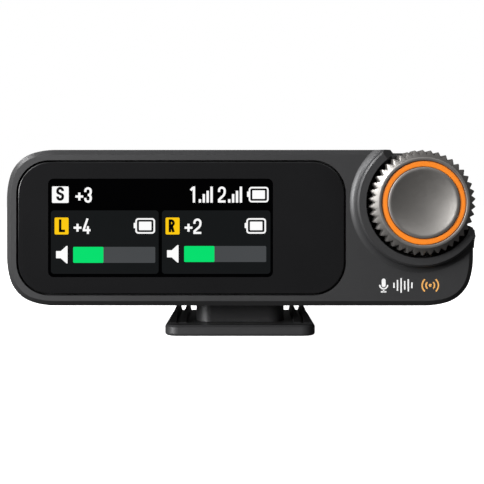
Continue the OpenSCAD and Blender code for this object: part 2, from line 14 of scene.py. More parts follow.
import bpy
import numpy as np
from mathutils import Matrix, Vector


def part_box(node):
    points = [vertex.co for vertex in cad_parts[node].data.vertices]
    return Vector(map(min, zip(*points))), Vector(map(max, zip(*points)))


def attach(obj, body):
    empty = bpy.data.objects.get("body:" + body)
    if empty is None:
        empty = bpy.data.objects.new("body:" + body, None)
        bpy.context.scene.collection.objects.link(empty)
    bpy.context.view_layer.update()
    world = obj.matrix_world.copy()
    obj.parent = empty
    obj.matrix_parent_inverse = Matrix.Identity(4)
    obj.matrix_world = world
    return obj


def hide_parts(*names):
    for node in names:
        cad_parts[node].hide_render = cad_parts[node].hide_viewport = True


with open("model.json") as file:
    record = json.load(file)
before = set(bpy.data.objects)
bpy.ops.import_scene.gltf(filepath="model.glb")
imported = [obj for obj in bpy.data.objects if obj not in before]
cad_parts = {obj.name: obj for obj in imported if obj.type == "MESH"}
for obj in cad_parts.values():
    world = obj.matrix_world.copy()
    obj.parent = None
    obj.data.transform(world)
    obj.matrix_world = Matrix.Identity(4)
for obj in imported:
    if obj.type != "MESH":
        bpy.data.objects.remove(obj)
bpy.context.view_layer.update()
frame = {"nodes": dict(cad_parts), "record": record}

LOG = logging.getLogger("receiver")
MM = 0.001
UNLIT_BASE = (0.001, 0.001, 0.001, 1)
Array = np.ndarray
Colour = tuple[float, float, float]
Pair = tuple[float, float]


class Body(Enum):
    """The bodies that new pieces ride on. The carried nodes stay on their own."""

    RECEIVER = "receiver"
    DIAL = "dial"


class Slot(Enum):
    """The record's material slots."""

    HOUSING = "housing"
    GLASS = "cover_glass"
    SCREEN = "screen"
    DIAL = "dial_metal"
    ACCENT = "accent"
    FOOT = "foot_metal"
    STEEL = "steel"
    GOLD = "gold"
    BLACK = "black_plastic"
    BOARD = "circuit_board"
    FLEX = "flex"
    FOIL = "foil"


class Side(Enum):
    """Which channel a panel of the screen shows."""

    LEFT = "L"
    RIGHT = "R"


# ---------------------------------------------------------------------------------------------------- finishes


@dataclass(frozen=True)
class Finish:
    """A surface finish, built as nodes on Object coordinates.

    The base colour is mottled by a broad noise, the roughness varies with a middling one, and a fine grain or a
    brushed streak gives the bump. A lit finish is near black and its colour shines. Lengths are in millimetres.
    """

    name: str
    colour: Colour
    roughness: float
    metallic: float = 0.0
    mottle: float = 0.12
    mottle_size: float = 6.0
    grain_size: float = 0.12
    grain_depth: float = 0.004
    rough_spread: float = 0.08
    streak: tuple[float, float, float] = (1.0, 1.0, 1.0)
    coat: float = 0.0
    coat_roughness: float = 0.1
    specular: float = 0.5
    glow: float = 0.0
    lit: bool = False

    def build(self) -> bpy.types.Material:
        """Makes the material, or returns the one that is already there.

        Returns:
            The node-based material.
        """
        if self.name in bpy.data.materials:
            return bpy.data.materials[self.name]
        material = bpy.data.materials.new(self.name)
        material.use_nodes = True
        nodes, links = material.node_tree.nodes, material.node_tree.links
        shader = nodes["Principled BSDF"]
        shader.inputs["Metallic"].default_value = self.metallic
        shader.inputs["Coat Weight"].default_value = self.coat
        shader.inputs["Coat Roughness"].default_value = self.coat_roughness
        shader.inputs["Specular IOR Level"].default_value = self.specular
        place = nodes.new("ShaderNodeTexCoord")
        stretch = nodes.new("ShaderNodeMapping")
        stretch.inputs["Scale"].default_value = self.streak
        links.new(place.outputs["Object"], stretch.inputs["Vector"])

        mottle = self._noise(nodes, links, stretch, self.mottle_size, 3.0)
        tint = nodes.new("ShaderNodeValToRGB")
        low, high = 1 - self.mottle, 1 + self.mottle
        tint.color_ramp.elements[0].position, tint.color_ramp.elements[1].position = 0.3, 0.7
        tint.color_ramp.elements[0].color = (*(c * low for c in self.colour), 1)
        tint.color_ramp.elements[1].color = (*(min(c * high, 1) for c in self.colour), 1)
        links.new(mottle.outputs["Fac"], tint.inputs["Fac"])
        if self.lit:
            shader.inputs["Base Color"].default_value = UNLIT_BASE
        else:
            links.new(tint.outputs["Color"], shader.inputs["Base Color"])

        wear = self._noise(nodes, links, stretch, self.grain_size * 6, 4.0)
        rough = nodes.new("ShaderNodeMapRange")
        rough.inputs["To Min"].default_value = max(self.roughness - self.rough_spread, 0.02)
        rough.inputs["To Max"].default_value = min(self.roughness + self.rough_spread, 1)
        links.new(wear.outputs["Fac"], rough.inputs["Value"])
        links.new(rough.outputs["Result"], shader.inputs["Roughness"])

        grain = self._noise(nodes, links, stretch, self.grain_size, 2.0)
        bump = nodes.new("ShaderNodeBump")
        bump.inputs["Strength"].default_value = 1.0
        bump.inputs["Distance"].default_value = self.grain_depth * MM
        links.new(grain.outputs["Fac"], bump.inputs["Height"])
        links.new(bump.outputs["Normal"], shader.inputs["Normal"])

        if self.glow:
            links.new(tint.outputs["Color"], shader.inputs["Emission Color"])
            shader.inputs["Emission Strength"].default_value = self.glow
        return material

    @staticmethod
    def _noise(nodes: bpy.types.Nodes, links: bpy.types.NodeLinks, place: bpy.types.Node, size: float,
               detail: float) -> bpy.types.Node:
        """Adds a noise on the stretched Object coordinates.

        Args:
            nodes: the material's nodes.
            links: the material's links.
            place: the node that gives the coordinates.
            size: how large its features are, in millimetres.
            detail: how many finer layers it has.

        Returns:
            The noise node.
        """
        noise = nodes.new("ShaderNodeTexNoise")
        noise.inputs["Scale"].default_value = 1 / (size * MM)
        noise.inputs["Detail"].default_value = detail
        links.new(place.outputs["Vector"], noise.inputs["Vector"])
        return noise


HOUSING = Finish("housing_satin", (0.041, 0.041, 0.0423), 0.42, metallic=0.35, mottle=0.05, grain_size=0.09,
                 grain_depth=0.0022, rough_spread=0.05)
INK_GLASS = Finish("ink_backed_glass", (0.0085, 0.0085, 0.009), 0.09, mottle=0.08, mottle_size=14, grain_depth=0.0001,
                   rough_spread=0.02, specular=0.3)
DARK_SCREEN = Finish("dark_screen", (0.0004, 0.0004, 0.0005), 0.09, mottle=0.1, grain_depth=0.0001, rough_spread=0.02,
                     specular=0.05)
PANEL_GREY = Finish("screen_panel_grey", (0.0072, 0.0082, 0.0088), 0.3, mottle=0.03, grain_depth=0.0001, specular=0.02,
                    glow=1.0, lit=True)
BAR_GREY = Finish("screen_bar_grey", (0.063, 0.067, 0.071), 0.3, mottle=0.02, grain_depth=0.0001, specular=0.02,
                  glow=1.0, lit=True)
LIT_WHITE = Finish("screen_white", (0.98, 0.98, 0.98), 0.4, mottle=0.01, grain_depth=0.0001, specular=0.02,
                   glow=1.0, lit=True)
LIT_GREEN = Finish("screen_green", (0.0003, 0.735, 0.155), 0.4, mottle=0.015, grain_depth=0.0001, specular=0.02,
                   glow=1.0, lit=True)
LIT_YELLOW = Finish("screen_yellow", (0.98, 0.585, 0.004), 0.4, mottle=0.015, grain_depth=0.0001, specular=0.02,
                    glow=1.0, lit=True)
SYMBOL_BLACK = Finish("screen_symbol_black", (0.0012, 0.0012, 0.0012), 0.4, mottle=0.1, grain_depth=0.0001,
                      specular=0.02)
DIAL_METAL = Finish("dial_blasted_metal", (0.34, 0.325, 0.31), 0.42, metallic=0.9, mottle=0.04, mottle_size=3,
                    grain_size=0.07, grain_depth=0.003, rough_spread=0.05)
ACCENT = Finish("dial_orange_enamel", (0.78, 0.205, 0.014), 0.38, mottle=0.03, mottle_size=2, grain_size=0.06,
                grain_depth=0.0008, coat=0.2, coat_roughness=0.3)
FOOT_METAL = Finish("foot_satin_black", (0.058, 0.058, 0.060), 0.42, metallic=0.35, mottle=0.06, grain_size=0.08,
                    grain_depth=0.002)
STEEL = Finish("brushed_steel", (0.56, 0.56, 0.58), 0.28, metallic=1.0, mottle=0.06, grain_size=0.05,
               grain_depth=0.0012, streak=(0.08, 1.0, 1.0))
GOLD = Finish("gold_plating", (0.83, 0.60, 0.22), 0.25, metallic=1.0, mottle=0.08, mottle_size=0.8, grain_size=0.04,
              grain_depth=0.0006)
BLACK_PLASTIC = Finish("moulded_black_plastic", (0.018, 0.018, 0.019), 0.55, mottle=0.1, grain_size=0.06,
                       grain_depth=0.002)
SOLDER_MASK = Finish("green_solder_mask", (0.008, 0.085, 0.04), 0.35, mottle=0.35, mottle_size=1.2, grain_size=0.2,
                     grain_depth=0.006, coat=0.4)
AMBER_FILM = Finish("amber_film", (0.45, 0.19, 0.03), 0.3, mottle=0.2, mottle_size=1.0, grain_size=0.3,
                    grain_depth=0.004, coat=0.3)
FOIL = Finish("battery_foil", (0.52, 0.53, 0.55), 0.34, metallic=0.9, mottle=0.07, mottle_size=2.5, grain_size=0.4,
              grain_depth=0.012)
PRINT_WHITE = Finish("print_light_grey", (0.72, 0.72, 0.72), 0.6, mottle=0.05, mottle_size=0.4, grain_size=0.05,
                     grain_depth=0.001)
PRINT_TAN = Finish("print_orange_tan", (0.72, 0.36, 0.09), 0.6, mottle=0.05, mottle_size=0.4, grain_size=0.05,
                   grain_depth=0.001)
FLOOR_WHITE = Finish("pale_floor", (0.95, 0.95, 0.95), 0.9, mottle=0.002, mottle_size=60, grain_size=1.5,
                     grain_depth=0.01, glow=1.1)

NODE_FINISH: dict[Slot, Finish] = {
    Slot.HOUSING: HOUSING, Slot.GLASS: INK_GLASS, Slot.SCREEN: DARK_SCREEN, Slot.DIAL: DIAL_METAL, Slot.ACCENT: ACCENT,
    Slot.FOOT: FOOT_METAL, Slot.STEEL: STEEL, Slot.GOLD: GOLD, Slot.BLACK: BLACK_PLASTIC, Slot.BOARD: SOLDER_MASK,
    Slot.FLEX: AMBER_FILM, Slot.FOIL: FOIL,
}


# ---------------------------------------------------------------------------------------------------- surfaces


@dataclass
class Surface:
    """Points and faces of one closed surface, in metres."""

    points: Array
    faces: list[list[int]] = field(default_factory=list)

    def joined(self, other: "Surface") -> "Surface":
        """Puts this surface and another one together.

        Args:
            other: the surface to add.

        Returns:
            One set of points and faces.
        """
        shift = len(self.points)
        moved = [[i + shift for i in face] for face in other.faces]
        return Surface(np.vstack([self.points, other.points]), self.faces + moved)

    def outward(self) -> "Surface":
        """Turns every face round if the enclosed volume comes out negative.

        The volume is the sum over each face's fan of triangles of a . (b x c) / 6.

        Returns:
            The surface, with its faces pointing outwards.
        """
        corners = np.array([(f[0], f[k], f[k + 1]) for f in self.faces for k in range(1, len(f) - 1)])
        a, b, c = (self.points[corners[:, k]] for k in range(3))
        volume = np.einsum("ij,ij->i", a, np.cross(b, c)).sum() / 6
        if volume < 0:
            self.faces = [face[::-1] for face in self.faces]
        return self


def grid_faces(rows: int, columns: int, wrap_rows: bool, wrap_columns: bool) -> list[list[int]]:
    """Quads between the points of a grid that is stored row by row.

    Args:
        rows: how many rows of points there are.
        columns: how many points a row has.
        wrap_rows: whether the last row joins the first.
        wrap_columns: whether each row closes on itself.

    Returns:
        The quads, as lists of four point numbers.
    """
    r = np.arange(rows if wrap_rows else rows - 1)
    c = np.arange(columns if wrap_columns else columns - 1)
    r, c = (part.ravel() for part in np.meshgrid(r, c, indexing="ij"))
    r1, c1 = (r + 1) % rows, (c + 1) % columns
    return np.stack([r * columns + c, r * columns + c1, r1 * columns + c1, r1 * columns + c], axis=1).tolist()


def stacked_loops(loops: Array) -> Surface:
    """A closed surface through a stack of loops, with a flat face on the first and the last.

    Args:
        loops: points of shape (loops, points in a loop, 3), in metres.

    Returns:
        The surface: quads from loop to loop, and one many-sided face at either end.
    """
    rows, columns = loops.shape[:2]
    faces = grid_faces(rows, columns, False, True)
    faces += [list(range(columns))[::-1], list(range((rows - 1) * columns, rows * columns))]
    return Surface(loops.reshape(-1, 3), faces).outward()


def screen_points(x: Array, z: Array, y: Array) -> Array:
    """Points from a place on the face (x, z) and a place along Y, all in millimetres, as metres."""
    return np.stack(np.broadcast_arrays(x, y, z), axis=-1) * MM


def round_rectangle(width: float, height: float, radius: float, per_corner: int = 8) -> tuple[Array, Array]:
    """The outline of a rectangle with round corners, centred on the origin.

    Each corner is the arc centre + radius (cos a, sin a), with a over its own quarter turn.

    Args:
        width: size along x.
        height: size along z.
        radius: of the corners.
        per_corner: steps in each corner's arc.

    Returns:
        The outline's x and z, anticlockwise from the right-hand side.
    """
    quarter = np.linspace(0, math.pi / 2, per_corner + 1)
    turn = np.repeat(np.arange(4), per_corner + 1) * math.pi / 2
    angle = np.tile(quarter, 4) + turn
    middle = turn + math.pi / 4
    reach_x, reach_z = width / 2 - radius, height / 2 - radius
    return (np.sign(np.cos(middle)) * reach_x + radius * np.cos(angle),
            np.sign(np.sin(middle)) * reach_z + radius * np.sin(angle))


def plate(centre: Pair, size: Pair, radius: float, back: float, front: float, bevel: float = 0.0,
          steps: int = 3) -> Surface:
    """A plate with round corners, parallel to the face, with its front edge rounded.

    Its outline is offset inwards by bevel (1 - cos b) while it comes forward by bevel sin b, with b from 0 to 90
    degrees.

    Args:
        centre: the plate's middle (x, z).
        size: its width and height.
        radius: of its corners, larger than the bevel.
        back: its back's place along Y.
        front: its front's place along Y, the smaller of the two.
        bevel: radius of the rounding round its front.
        steps: steps in that rounding.

    Returns:
        The closed surface.
    """
    roll = np.linspace(0, math.pi / 2, steps + 1) if bevel else np.zeros(1)
    insets = np.concatenate([[0.0], bevel * (1 - np.cos(roll))])
    depths = np.concatenate([[back], front + bevel - bevel * np.sin(roll)])
    loops = []
    for inset, depth in zip(insets, depths):
        x, z = round_rectangle(size[0] - 2 * inset, size[1] - 2 * inset, max(radius - inset, 1e-3))
        loops.append(screen_points(x + centre[0], z + centre[1], np.full_like(x, depth)))
    return stacked_loops(np.array(loops))


def turned(profile: Array, centre: Pair, segments: int, closed: bool) -> Surface:
    """A surface of revolution about a line along Y: x = cx + r cos a, z = cz + r sin a, y from the profile.

    Args:
        profile: rows of (radius, y), from one end to the other, or once round if it is closed.
        centre: the axis's (x, z).
        segments: steps round the axis.
        closed: whether the profile is a loop. Otherwise its ends lie on the axis.

    Returns:
        The closed surface.
    """
    angle = np.linspace(0, 2 * math.pi, segments, endpoint=False)
    radius, depth = profile[:, :1], profile[:, 1:]
    points = screen_points(centre[0] + radius * np.cos(angle), centre[1] + radius * np.sin(angle),
                           np.broadcast_to(depth, (len(profile), segments)))
    if closed:
        return Surface(points.reshape(-1, 3), grid_faces(len(profile), segments, True, True)).outward()
    rows = len(profile) - 2
    body = points[1:-1].reshape(-1, 3)
    poles = np.array([points[0].mean(axis=0), points[-1].mean(axis=0)])
    first, last = len(body), len(body) + 1
    ring = np.arange(segments)
    after = (ring + 1) % segments
    start = np.stack([np.full(segments, first), ring, after], axis=1).tolist()
    base = (rows - 1) * segments
    end = np.stack([np.full(segments, last), base + after, base + ring], axis=1).tolist()
    body_faces = [face[::-1] for face in grid_faces(rows, segments, False, True)]
    return Surface(np.vstack([body, poles]), start + body_faces + end).outward()


def ribbon(path: Array, width: float, back: float, front: float) -> Surface:
    """A flat stroke along a path on the face: path +- width / 2 times the path's mitred normal.

    Args:
        path: rows of (x, z).
        width: of the stroke.
        back: its back's place along Y.
        front: its front's place along Y.

    Returns:
        The closed surface, with square ends.
    """
    step = np.diff(path, axis=0)
    step /= np.linalg.norm(step, axis=1, keepdims=True)
    before, after = np.vstack([step[:1], step]), np.vstack([step, step[-1:]])
    along = before + after
    along /= np.linalg.norm(along, axis=1, keepdims=True)
    mitre = 1 / np.maximum(np.einsum("ij,ij->i", along, after), 0.5)
    normal = np.stack([-along[:, 1], along[:, 0]], axis=1) * (mitre * width / 2)[:, None]
    left, right = path + normal, path - normal
    corners = [(left, front), (right, front), (right, back), (left, back)]
    loops = np.stack([screen_points(edge[:, 0], edge[:, 1], np.full(len(path), depth)) for edge, depth in corners],
                     axis=1)
    return stacked_loops(loops)


def arc(centre: Pair, radii: Pair, start: float, end: float, steps: int = 10) -> Array:
    """Rows of (x, z) = centre + (rx cos a, rz sin a), with a from start to end in degrees."""
    a = np.radians(np.linspace(start, end, steps + 1))
    return np.stack([centre[0] + radii[0] * np.cos(a), centre[1] + radii[1] * np.sin(a)], axis=1)


def polygon_plate(outline: Array, back: float, front: float) -> Surface:
    """A flat plate with straight sides over any outline that is given as rows of (x, z)."""
    loops = [screen_points(outline[:, 0], outline[:, 1], np.full(len(outline), depth)) for depth in (back, front)]
    return stacked_loops(np.array(loops))


def make_piece(name: str, surface: Surface, finish: Finish, body: Body, replaces: tuple[str, ...] = (),
               crease: float = 35.0) -> bpy.types.Object:
    """Puts a surface into a mesh, dresses it and lets it ride on its body.

    Args:
        name: the piece's name.
        surface: its points and faces.
        finish: its material.
        body: the body that it moves with.
        replaces: CAD nodes that it stands for.
        crease: edges sharper than this many degrees stay sharp.

    Returns:
        The new object, at the origin and unturned.
    """
    mesh = bpy.data.meshes.new(name)
    mesh.from_pydata(surface.points.tolist(), [], surface.faces)
    mesh.shade_smooth()
    mesh.set_sharp_from_angle(angle=math.radians(crease))
    mesh.validate()
    piece = bpy.data.objects.new(name, mesh)
    bpy.context.scene.collection.objects.link(piece)
    piece.data.materials.append(finish.build())
    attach(piece, body.value)
    if replaces:
        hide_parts(*replaces)
    LOG.info("%s: %d points, %d faces, on %s", name, len(surface.points), len(surface.faces), body.value)
    return piece


def box_mm(node: str) -> tuple[Array, Array]:
    """A CAD node's lowest and highest corner, in millimetres."""
    low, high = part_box(node)
    return np.array(low) / MM, np.array(high) / MM


# ---------------------------------------------------------------------------------------------------- CAD nodes


@dataclass
class CarriedNodes:
    """The CAD nodes that stay in view, each in the finish of its material slot."""

    def dress(self) -> None:
        """Gives every CAD node its slot's finish."""
        slots = {row["node"]: row["material_slot"] for row in frame["record"]["subparts"]}
        for name, node in frame["nodes"].items():
            material = NODE_FINISH[Slot(slots[name])].build()
            if not node.data.materials:
                node.data.materials.append(material)
            for index in range(len(node.data.materials)):
                node.data.materials[index] = material
            LOG.info("node %s: %s", name, material.name)


# ---------------------------------------------------------------------------------------------------- glyphs


@dataclass(frozen=True)
class Pen:
    """Draws figures as strokes in a box of the given size, lower left at the origin, in millimetres."""

    width: float
    height: float
    stroke: float

    def strokes(self, figure: str) -> list[Array]:
        """The centre lines of a figure.

        Args:
            figure: one of the figures 1, 2, 3, 4, +, S, L and R.

        Returns:
            One path of (x, z) rows for each stroke.
        """
        w, h = self.width, self.height
        r = w / 2
        top = arc((r, h - r), (r, r), 180, 0)
        if figure == "1":
            return [np.array([[0.0, h * 0.80], [w * 0.55, h * 0.955], [w, h * 0.98]]),
                    np.array([[w, h + self.stroke / 2], [w, -self.stroke / 2]])]
        if figure == "2":
            down = np.array([[w, h * 0.70], [w * 0.96, h * 0.58], [w * 0.8, h * 0.44], [0.0, h * 0.13], [0.0, 0.0]])
            return [np.vstack([[[0.0, h * 0.68]], top, down]),
                    np.array([[-self.stroke / 2, 0.0], [w + self.stroke * 0.4, 0.0]])]
        if figure == "3":
            q = min(r, h * 0.24)
            upper = np.vstack([[[0.0, h * 0.72]], top, arc((w - q, h * 0.5 + q), (q, q), 0, -90, 6),
                               [[w * 0.45, h * 0.5]]])
            lower = np.vstack([[[w * 0.45, h * 0.5]], arc((w - q, h * 0.5 - q), (q, q), 90, 0, 6),
                               arc((r, r), (r, r), 0, -180), [[0.0, h * 0.28]]])
            return [upper, lower]
        if figure == "4":
            return [np.array([[w * 0.68, h + self.stroke / 2], [0.02 * w, h * 0.22]]),
                    np.array([[-self.stroke * 0.35, h * 0.20], [w + self.stroke / 2, h * 0.20]]),
                    np.array([[w * 0.74, h * 0.5], [w * 0.74, -self.stroke / 2]])]
        if figure == "+":
            return [np.array([[-self.stroke / 2, h / 2], [w + self.stroke / 2, h / 2]]),
                    np.array([[w / 2, -self.stroke / 2], [w / 2, h + self.stroke / 2]])]
        if figure == "S":
            middle = np.array([[0.0, h * 0.66], [w * 0.12, h * 0.58], [w * 0.88, h * 0.42], [w, h * 0.34]])
            return [np.vstack([[[w, h * 0.74]], top[::-1], middle, arc((r, r), (r, r), 0, -180), [[0.0, h * 0.27]]])]
        if figure == "L":
            return [np.array([[0.0, h + self.stroke / 2], [0.0, -self.stroke / 2]]),
                    np.array([[-self.stroke / 2, 0.0], [w + self.stroke / 2, 0.0]])]
        q = h * 0.24
        bowl = np.vstack([[[0.0, h]], arc((w - q, h - q), (q, q), 90, -90, 12), [[0.0, h - 2 * q]]])
        return [np.array([[0.0, h + self.stroke / 2], [0.0, -self.stroke / 2]]), bowl,
                np.array([[w * 0.45, h - 2 * q], [w, -self.stroke / 2]])]

    def draw(self, figure: str, corner: Pair, back: float, front: float) -> Surface:
        """Draws a figure as flat ribbons.

        Args:
            figure: one of the figures that strokes() knows.
            corner: its lower left outside corner.
            back: the ribbons' back along Y.
            front: the ribbons' front along Y.

        Returns:
            The figure's surface.
        """
        shift = np.array(corner) + self.stroke / 2
        ribbons = [ribbon(path + shift, self.stroke, back, front) for path in self.strokes(figure)]
        drawn = ribbons[0]
        for other in ribbons[1:]:
            drawn = drawn.joined(other)
        return drawn


# ---------------------------------------------------------------------------------------------------- display


@dataclass
class Display:
    """The cover glass and everything that the screen shows, laid out from the screen's centre."""

    screen_w: float = 26.3
    screen_h: float = 11.52
    screen_r: float = 0.65
    screen_shift: float = 2.41
    symbol_lift: float = 0.06
    layer: float = 0.012
    field_sink: float = 0.05
    tile_sink: float = 0.03
    stroke_sink: float = 0.02
    glass_r: float = 3.7
    glass_bevel: float = 0.14
    badge_r: float = 0.14
    panel_r: float = 0.36
    pitch: float = 12.98
    bar_start: float = -10.21
    bar_end: float = -0.61
    level_end: float = -6.67
    level_r: float = 0.13
    bar_low: float = -4.15
    bar_high: float = -2.28

    def build(self) -> None:
        """Makes the glass, the dark screen and its symbols."""
        low, high = box_mm("display_glass")
        self.face = low[1]
        glass_centre = ((low[0] + high[0]) / 2, (low[2] + high[2]) / 2)
        screen_centre = (glass_centre[0] - self.screen_shift, glass_centre[1])
        self.centre = (screen_centre[0], screen_centre[1] + self.symbol_lift)
        width, height = high[0] - low[0], high[2] - low[2]
        pane = plate(glass_centre, (width, height), self.glass_r, high[1], self.face, self.glass_bevel, steps=5)
        make_piece("cover_glass", pane, INK_GLASS, Body.RECEIVER, ("display_glass",))
        screen = plate(screen_centre, (self.screen_w, self.screen_h), self.screen_r, self.face + self.field_sink,
                       self._front(1))
        self._lay("screen_field", screen, DARK_SCREEN)
        self._status_row()
        for side in Side:
            self._channel(side)

    def _front(self, level: int) -> float:
        """The place along Y of a layer's front, with the dark screen as layer 1."""
        return self.face - level * self.layer

    def _lay(self, name: str, surface: Surface, finish: Finish) -> None:
        """Adds one piece of the screen."""
        make_piece(name, surface, finish, Body.RECEIVER)

    def _tile(self, x0: float, x1: float, z0: float, z1: float, radius: float, level: int) -> Surface:
        """A flat tile with its sides at x0 and x1 and at z0 and z1 from the screen's centre, on the given layer."""
        centre = (self.centre[0] + (x0 + x1) / 2, self.centre[1] + (z0 + z1) / 2)
        return plate(centre, (x1 - x0, z1 - z0), radius, self.face + self.tile_sink, self._front(level))

    def _figure(self, pen: Pen, figure: str, x: float, z: float, level: int) -> Surface:
        """A figure with its lower left corner at (x, z) from the screen's centre, on the given layer."""
        corner = (self.centre[0] + x, self.centre[1] + z)
        return pen.draw(figure, corner, self.face + self.stroke_sink, self._front(level))

    def _battery(self, x: float, z: float, w: float, h: float, line: float, level: int) -> Surface:
        """A battery sign: a round-cornered ring, a filled middle and a knob at the left.

        Args:
            x: left side of the ring.
            z: lower side of the ring.
            w: the ring's width.
            h: the ring's height.
            line: width of its line.
            level: the layer that it lies on.

        Returns:
            The sign's surface.
        """
        cx, cz = self.centre[0] + x + w / 2, self.centre[1] + z + h / 2
        ox, oz = round_rectangle(w - line, h - line, 0.27, 6)
        path = np.stack([ox + cx, oz + cz], axis=1)
        path = path[np.append(np.linalg.norm(np.diff(path, axis=0), axis=1) > 1e-6, True)]
        start = (path[0] + path[-1]) / 2
        ring = ribbon(np.vstack([start, path, start]), line, self.face + self.stroke_sink, self._front(level))
        fill = self._tile(x + 0.43, x + w - 0.43, z + 0.41, z + h - 0.41, 0.05, level)
        knob = self._tile(x - 0.19, x + 0.02, z + h * 0.35, z + h * 0.70, 0.08, level)
        return ring.joined(fill).joined(knob)

    def _signal(self, x: float, level: int) -> Surface:
        """Four bars that rise to the right, as signal strength.

        Args:
            x: left side of the first bar.
            level: the layer that they lie on.

        Returns:
            The bars' surface.
        """
        foot, first, last, spacing, wide = 2.89, 3.30, 4.77, 0.455, 0.285
        heights = first + (last - first) * np.array([0.0, 0.41, 0.67, 1.0])
        tiles = [self._tile(x + i * spacing, x + i * spacing + wide, foot, top, 0.04, level)
                 for i, top in enumerate(heights)]
        drawn = tiles[0]
        for tile in tiles[1:]:
            drawn = drawn.joined(tile)
        return drawn

    def _status_row(self) -> None:
        """The top row: mode badge, gain, the two links with their signal bars, and the receiver's own battery."""
        digits = Pen(0.63, 1.56, 0.26)
        plus = Pen(0.66, 0.66, 0.26)
        self._lay("mode_badge", self._tile(-12.69, -10.74, 2.86, 4.79, self.badge_r, 2), LIT_WHITE)
        self._lay("mode_letter", self._figure(Pen(0.60, 1.32, 0.31), "S", -12.185, 3.11, 3), SYMBOL_BLACK)
        gain = self._figure(plus, "+", -9.95, 3.15, 2).joined(self._figure(digits, "3", -8.92, 2.88, 2))
        self._lay("mode_gain", gain, LIT_WHITE)
        one = self._figure(Pen(0.38, 1.62, 0.27), "1", 3.40, 2.90, 2)
        two = self._figure(Pen(0.66, 1.62, 0.26), "2", 6.72, 2.90, 2)
        self._lay("link_numbers", one.joined(two), LIT_WHITE)
        self._lay("link_signals", self._signal(4.47, 2).joined(self._signal(7.90, 2)), LIT_WHITE)
        self._lay("own_battery", self._battery(10.32, 2.92, 2.33, 1.82, 0.19, 2), LIT_WHITE)

    def _channel(self, side: Side) -> None:
        """One channel's panel: badge, gain, battery, speaker sign and level bar.

        Args:
            side: the channel.
        """
        shift = 0.0 if side is Side.LEFT else self.pitch
        lift = 0.0 if side is Side.LEFT else 0.1
        tag = f"channel_{side.value}"
        panel = self._tile(-12.81 + shift, -0.22 + shift + lift, -5.43, 1.98, self.panel_r, 2)
        self._lay(f"{tag}_panel", panel, PANEL_GREY)
        badge = self._tile(-12.38 + shift, -10.75 + shift, -0.83, 1.15, self.badge_r, 3)
        self._lay(f"{tag}_badge", badge, LIT_YELLOW)
        letter = Pen(0.42, 1.20, 0.30)
        start = -11.88 if side is Side.LEFT else -12.02
        self._lay(f"{tag}_letter", self._figure(letter, side.value, start + shift, -0.56, 4), SYMBOL_BLACK)
        digit = "4" if side is Side.LEFT else "2"
        gain = self._figure(Pen(0.66, 0.66, 0.26), "+", -10.16 + shift, -0.50, 3)
        gain = gain.joined(self._figure(Pen(0.70, 1.56, 0.25), digit, -9.13 + shift, -0.77, 3))
        self._lay(f"{tag}_gain", gain, LIT_WHITE)
        self._lay(f"{tag}_battery", self._battery(-2.94 + shift, -0.74, 2.31, 1.82, 0.19, 3), LIT_WHITE)
        mouth = (self.centre[0] - 12.21 + shift, self.centre[1] - 3.19 + lift)
        horn = np.array([[0.0, -0.42], [0.0, 0.42], [0.55, 0.42], [1.21, 1.02], [1.34, 1.02], [1.34, -1.02],
                         [1.21, -1.02], [0.55, -0.42]]) + mouth
        self._lay(f"{tag}_speaker", polygon_plate(horn, self.face + self.stroke_sink, self._front(3)), LIT_WHITE)
        sides = (self.bar_low + lift, self.bar_high + lift)
        track = self._tile(self.bar_start + shift, self.bar_end + shift, *sides, self.badge_r, 3)
        self._lay(f"{tag}_level_track", track, BAR_GREY)
        level = self._tile(self.bar_start + shift, self.level_end + shift, *sides, self.level_r, 4)
        self._lay(f"{tag}_level", level, LIT_GREEN)


# ---------------------------------------------------------------------------------------------------- dial


